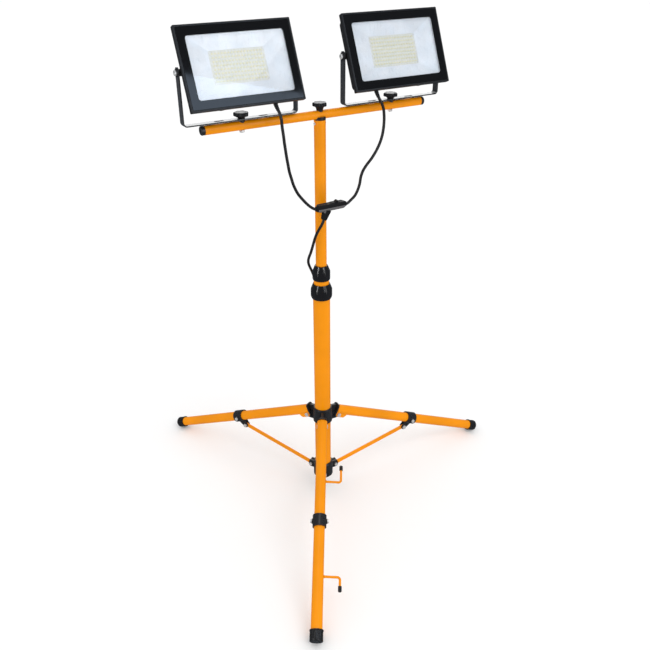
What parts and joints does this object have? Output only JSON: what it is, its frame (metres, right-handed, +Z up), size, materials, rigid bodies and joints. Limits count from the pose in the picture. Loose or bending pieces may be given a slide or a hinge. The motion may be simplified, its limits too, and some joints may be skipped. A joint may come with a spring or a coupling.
{
  "type": "tripod work light",
  "caption": "Twin flood lamps tilting in U brackets on a crossbar, on a telescopic mast with a folding tripod and a mains lead",
  "frame": {"origin": "floor level, centre of the footprint of the three feet", "axes": "+Z up along the mast, front leg toward -Y, crossbar turned 31.6 degrees about the mast"},
  "size_m": [0.8956, 0.7792, 1.1712],
  "materials": {
    "yellow_tube": "gloss powder coat",
    "black_plastic": "satin moulded",
    "gloss_black_plastic": "gloss moulded",
    "zinc_steel": "bright zinc",
    "bracket_paint": "charcoal powder coat",
    "housing_paint": "black powder coat on cast aluminium",
    "lamp_glass": "clear with a black printed border",
    "seal_rubber": "matt",
    "reflector_white": "white semi-gloss",
    "led_board": "white board with light-emitting chips",
    "cord_rubber": "satin"
  },
  "bodies": {
    "stand_body": {"outer_tube": "yellow_tube", "strut_collar": "black_plastic", "collar_bolts": "zinc_steel", "lower_collet": "black_plastic"},
    "lower_nut_body": {"lower_lock_nut": "gloss_black_plastic"},
    "mid_body": {"mid_tube": "yellow_tube", "upper_collet": "black_plastic"},
    "upper_nut_body": {"upper_lock_nut": "gloss_black_plastic"},
    "top_body": {"top_tube": "yellow_tube", "mast_plugs": "black_plastic", "plug_rivets": "zinc_steel"},
    "bar_body": {"crossbar": "yellow_tube", "bar_saddle": "black_plastic", "bar_end_caps": "black_plastic", "bar_nuts": "zinc_steel", "splitter_body": "black_plastic", "lead_left": "cord_rubber", "lead_right": "cord_rubber", "mains_lead": "cord_rubber", "mains_hank": "cord_rubber", "hank_tie": "black_plastic", "mains_plug": "black_plastic"},
    "center_knob_body": {"center_knob": "black_plastic"},
    "hub_body": {"hub": "black_plastic", "hub_pivot_bolts": "zinc_steel"},
    "rocker_body": {"rocker_switch": "black_plastic"},
    "knob_left_body": {"knob_left": "black_plastic"},
    "bracket_left_body": {"bracket_left": "bracket_paint"},
    "lamp_left_body": {"lamp_left_housing": "housing_paint", "lamp_left_glass": "lamp_glass", "lamp_left_gasket": "seal_rubber", "lamp_left_reflector": "reflector_white", "lamp_left_led_board": "led_board", "lamp_left_fittings": "black_plastic", "lamp_left_pivot_bolts": "zinc_steel"},
    "knob_right_body": {"knob_right": "black_plastic"},
    "bracket_right_body": {"bracket_right": "bracket_paint"},
    "lamp_right_body": {"lamp_right_housing": "housing_paint", "lamp_right_glass": "lamp_glass", "lamp_right_gasket": "seal_rubber", "lamp_right_reflector": "reflector_white", "lamp_right_led_board": "led_board", "lamp_right_fittings": "black_plastic", "lamp_right_pivot_bolts": "zinc_steel"},
    "leg_front_body": {"leg_front": "yellow_tube", "foot_front": "seal_rubber", "clip_front": "black_plastic", "clip_bolts_front": "zinc_steel", "cord_hooks": "yellow_tube"},
    "strut_front_body": {"strut_front": "yellow_tube"},
    "leg_right_body": {"leg_right": "yellow_tube", "foot_right": "seal_rubber", "clip_right": "black_plastic", "clip_bolts_right": "zinc_steel"},
    "strut_right_body": {"strut_right": "yellow_tube"},
    "leg_left_body": {"leg_left": "yellow_tube", "foot_left": "seal_rubber", "clip_left": "black_plastic", "clip_bolts_left": "zinc_steel"},
    "strut_left_body": {"strut_left": "yellow_tube"}
  },
  "joints": [
    {"name": "lower_nut_turn", "type": "hinge", "parent": "stand_body", "child": "lower_nut_body", "pos_m": [0, 0.1233, 0.582], "axis": [0, 0, 1], "range_deg": [0, 180]},
    {"name": "mid_slide", "type": "slide", "parent": "stand_body", "child": "mid_body", "axis": [0, 0, 1], "range_m": [0, 0.4]},
    {"name": "upper_nut_turn", "type": "hinge", "parent": "mid_body", "child": "upper_nut_body", "pos_m": [0, 0.1233, 0.63], "axis": [0, 0, 1], "range_deg": [0, 180]},
    {"name": "top_slide", "type": "slide", "parent": "mid_body", "child": "top_body", "axis": [0, 0, 1], "range_m": [-0.25, 0.115]},
    {"name": "bar_swivel", "type": "hinge", "parent": "top_body", "child": "bar_body", "pos_m": [0, 0.1233, 0.9832], "axis": [0, 0, 1], "range_deg": [-120, 120]},
    {"name": "center_knob_turn", "type": "hinge", "parent": "top_body", "child": "center_knob_body", "pos_m": [0, 0.1233, 1], "axis": [0, 0, 1], "range_deg": [0, 720]},
    {"name": "rocker_press", "type": "hinge", "parent": "bar_body", "child": "rocker_body", "pos_m": [0.03066, 0.09637, 0.8035], "axis": [-0.524, 0.8517, 0], "range_deg": [0, 16]},
    {"name": "hub_slide", "type": "slide", "parent": "stand_body", "child": "hub_body", "axis": [0, 0, 1], "range_m": [0, 0.2992]},
    {"name": "bracket_left_swivel", "type": "hinge", "parent": "bar_body", "child": "bracket_left_body", "pos_m": [-0.14905, 0.0316, 0.9957], "axis": [0, 0, 1], "range_deg": [-90, 90]},
    {"name": "knob_left_turn", "type": "hinge", "parent": "bar_body", "child": "knob_left_body", "pos_m": [-0.14905, 0.0316, 1], "axis": [0, 0, 1], "range_deg": [0, 720]},
    {"name": "lamp_left_tilt", "type": "hinge", "parent": "bracket_left_body", "child": "lamp_left_body", "pos_m": [-0.14905, 0.0316, 1.0922], "axis": [0.8517, 0.524, 0], "range_deg": [-65, 80]},
    {"name": "bracket_right_swivel", "type": "hinge", "parent": "bar_body", "child": "bracket_right_body", "pos_m": [0.14905, 0.215, 0.9957], "axis": [0, 0, 1], "range_deg": [-90, 90]},
    {"name": "knob_right_turn", "type": "hinge", "parent": "bar_body", "child": "knob_right_body", "pos_m": [0.14905, 0.215, 1], "axis": [0, 0, 1], "range_deg": [0, 720]},
    {"name": "lamp_right_tilt", "type": "hinge", "parent": "bracket_right_body", "child": "lamp_right_body", "pos_m": [0.14905, 0.215, 1.0922], "axis": [0.8517, 0.524, 0], "range_deg": [-65, 80]},
    {"name": "leg_front_fold", "type": "hinge", "parent": "hub_body", "child": "leg_front_body", "pos_m": [0, 0.0823, 0.22], "axis": [1, 0, 0], "range_deg": [0, 56.1]},
    {"name": "strut_front_swing", "type": "hinge", "parent": "leg_front_body", "child": "strut_front_body", "pos_m": [0, -0.1287, 0.101], "axis": [1, 0, 0], "range_deg": [-128.4, 0]},
    {"name": "leg_right_fold", "type": "hinge", "parent": "hub_body", "child": "leg_right_body", "pos_m": [0.03551, 0.1438, 0.22], "axis": [-0.5, 0.866, 0], "range_deg": [0, 56.1]},
    {"name": "strut_right_swing", "type": "hinge", "parent": "leg_right_body", "child": "strut_right_body", "pos_m": [0.21824, 0.2493, 0.101], "axis": [-0.5, 0.866, 0], "range_deg": [-128.4, 0]},
    {"name": "leg_left_fold", "type": "hinge", "parent": "hub_body", "child": "leg_left_body", "pos_m": [-0.03551, 0.1438, 0.22], "axis": [-0.5, -0.866, 0], "range_deg": [0, 56.1]},
    {"name": "strut_left_swing", "type": "hinge", "parent": "leg_left_body", "child": "strut_left_body", "pos_m": [-0.21824, 0.2493, 0.101], "axis": [-0.5, -0.866, 0], "range_deg": [-128.4, 0]}
  ],
  "couplings": [
    {"joint": "leg_front_fold", "follows": "hub_slide", "rad_per_m": 3.2667},
    {"joint": "strut_front_swing", "follows": "hub_slide", "rad_per_m": -7.4783},
    {"joint": "leg_right_fold", "follows": "hub_slide", "rad_per_m": 3.2667},
    {"joint": "strut_right_swing", "follows": "hub_slide", "rad_per_m": -7.4783},
    {"joint": "leg_left_fold", "follows": "hub_slide", "rad_per_m": 3.2667},
    {"joint": "strut_left_swing", "follows": "hub_slide", "rad_per_m": -7.4783}
  ]
}
